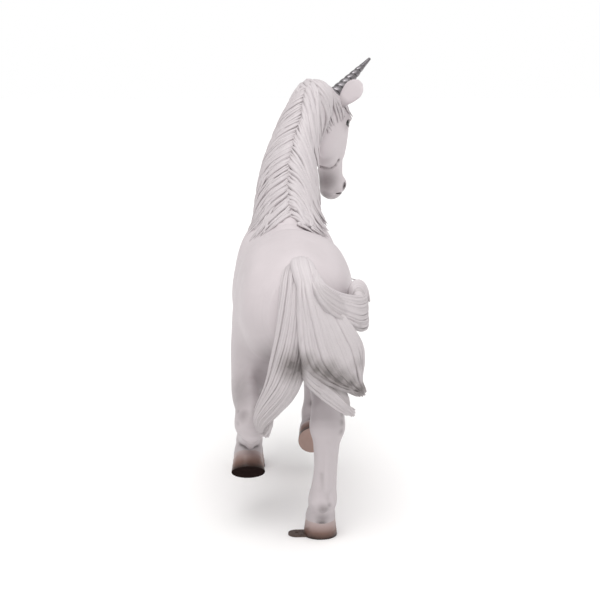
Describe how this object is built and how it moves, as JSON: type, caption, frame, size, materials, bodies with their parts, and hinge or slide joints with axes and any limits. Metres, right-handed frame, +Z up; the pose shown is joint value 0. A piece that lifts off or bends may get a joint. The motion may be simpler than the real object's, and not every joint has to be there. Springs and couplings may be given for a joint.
{
  "type": "unicorn statue",
  "caption": "Free-standing trotting unicorn statue with turned head, swept tail and flat bolt-down tabs at its planted hooves.",
  "frame": {"origin": "middle of the statue's bounding box in plan, on the ground under the planted hooves", "axes": "+Z up, the unicorn faces -Y, its left side is +X"},
  "size_m": [0.612, 1.6712, 1.6329],
  "materials": {
    "body_white_resin": "satin hand-painted glass-fibre reinforced resin",
    "hair_white_resin": "satin painted cast resin with grey wash in the grooves",
    "hoof_painted_resin": "satin painted cast resin, pinkish grey to brown",
    "horn_metallic_resin": "dark silver metallic",
    "eye_gloss_black": "gloss",
    "armature_steel": "dark brown primer",
    "zinc_steel": "zinc plated",
    "plywood": "raw",
    "raw_laminate": "raw glass-fibre laminate"
  },
  "bodies": {
    "root": {"armature_fore_post": "armature_steel", "armature_hind_post": "armature_steel", "armature_neck_rod": "armature_steel", "armature_raised_fore_rod": "armature_steel", "armature_raised_hind_rod": "armature_steel", "armature_spine": "armature_steel", "ear_left": "body_white_resin", "ear_right": "body_white_resin", "eye_left": "eye_gloss_black", "eye_right": "eye_gloss_black", "fore_left_forearm": "body_white_resin", "fore_left_hoof": "hoof_painted_resin", "fore_left_shank": "body_white_resin", "fore_mount_tab": "armature_steel", "fore_right_forearm": "body_white_resin", "fore_right_hoof": "hoof_painted_resin", "fore_right_shank": "body_white_resin", "forelock": "hair_white_resin", "front_bulkhead": "plywood", "head_shell": "body_white_resin", "hind_left_hoof": "hoof_painted_resin", "hind_left_shank": "body_white_resin", "hind_left_thigh": "body_white_resin", "hind_mount_tab": "armature_steel", "hind_right_hoof": "hoof_painted_resin", "hind_right_shank": "body_white_resin", "hind_right_thigh": "body_white_resin", "horn": "horn_metallic_resin", "horn_socket": "zinc_steel", "horn_stud": "zinc_steel", "mane_left": "hair_white_resin", "mane_right": "hair_white_resin", "neck_shell": "body_white_resin", "rear_bulkhead": "plywood", "tail_left_lock": "hair_white_resin", "tail_middle_lock": "hair_white_resin", "tail_right_lock": "hair_white_resin", "tail_stud": "zinc_steel", "tail_stud_nut": "zinc_steel", "torso_left_shell": "body_white_resin", "torso_right_shell": "body_white_resin", "torso_seam_strip": "raw_laminate"}
  },
  "joints": []
}
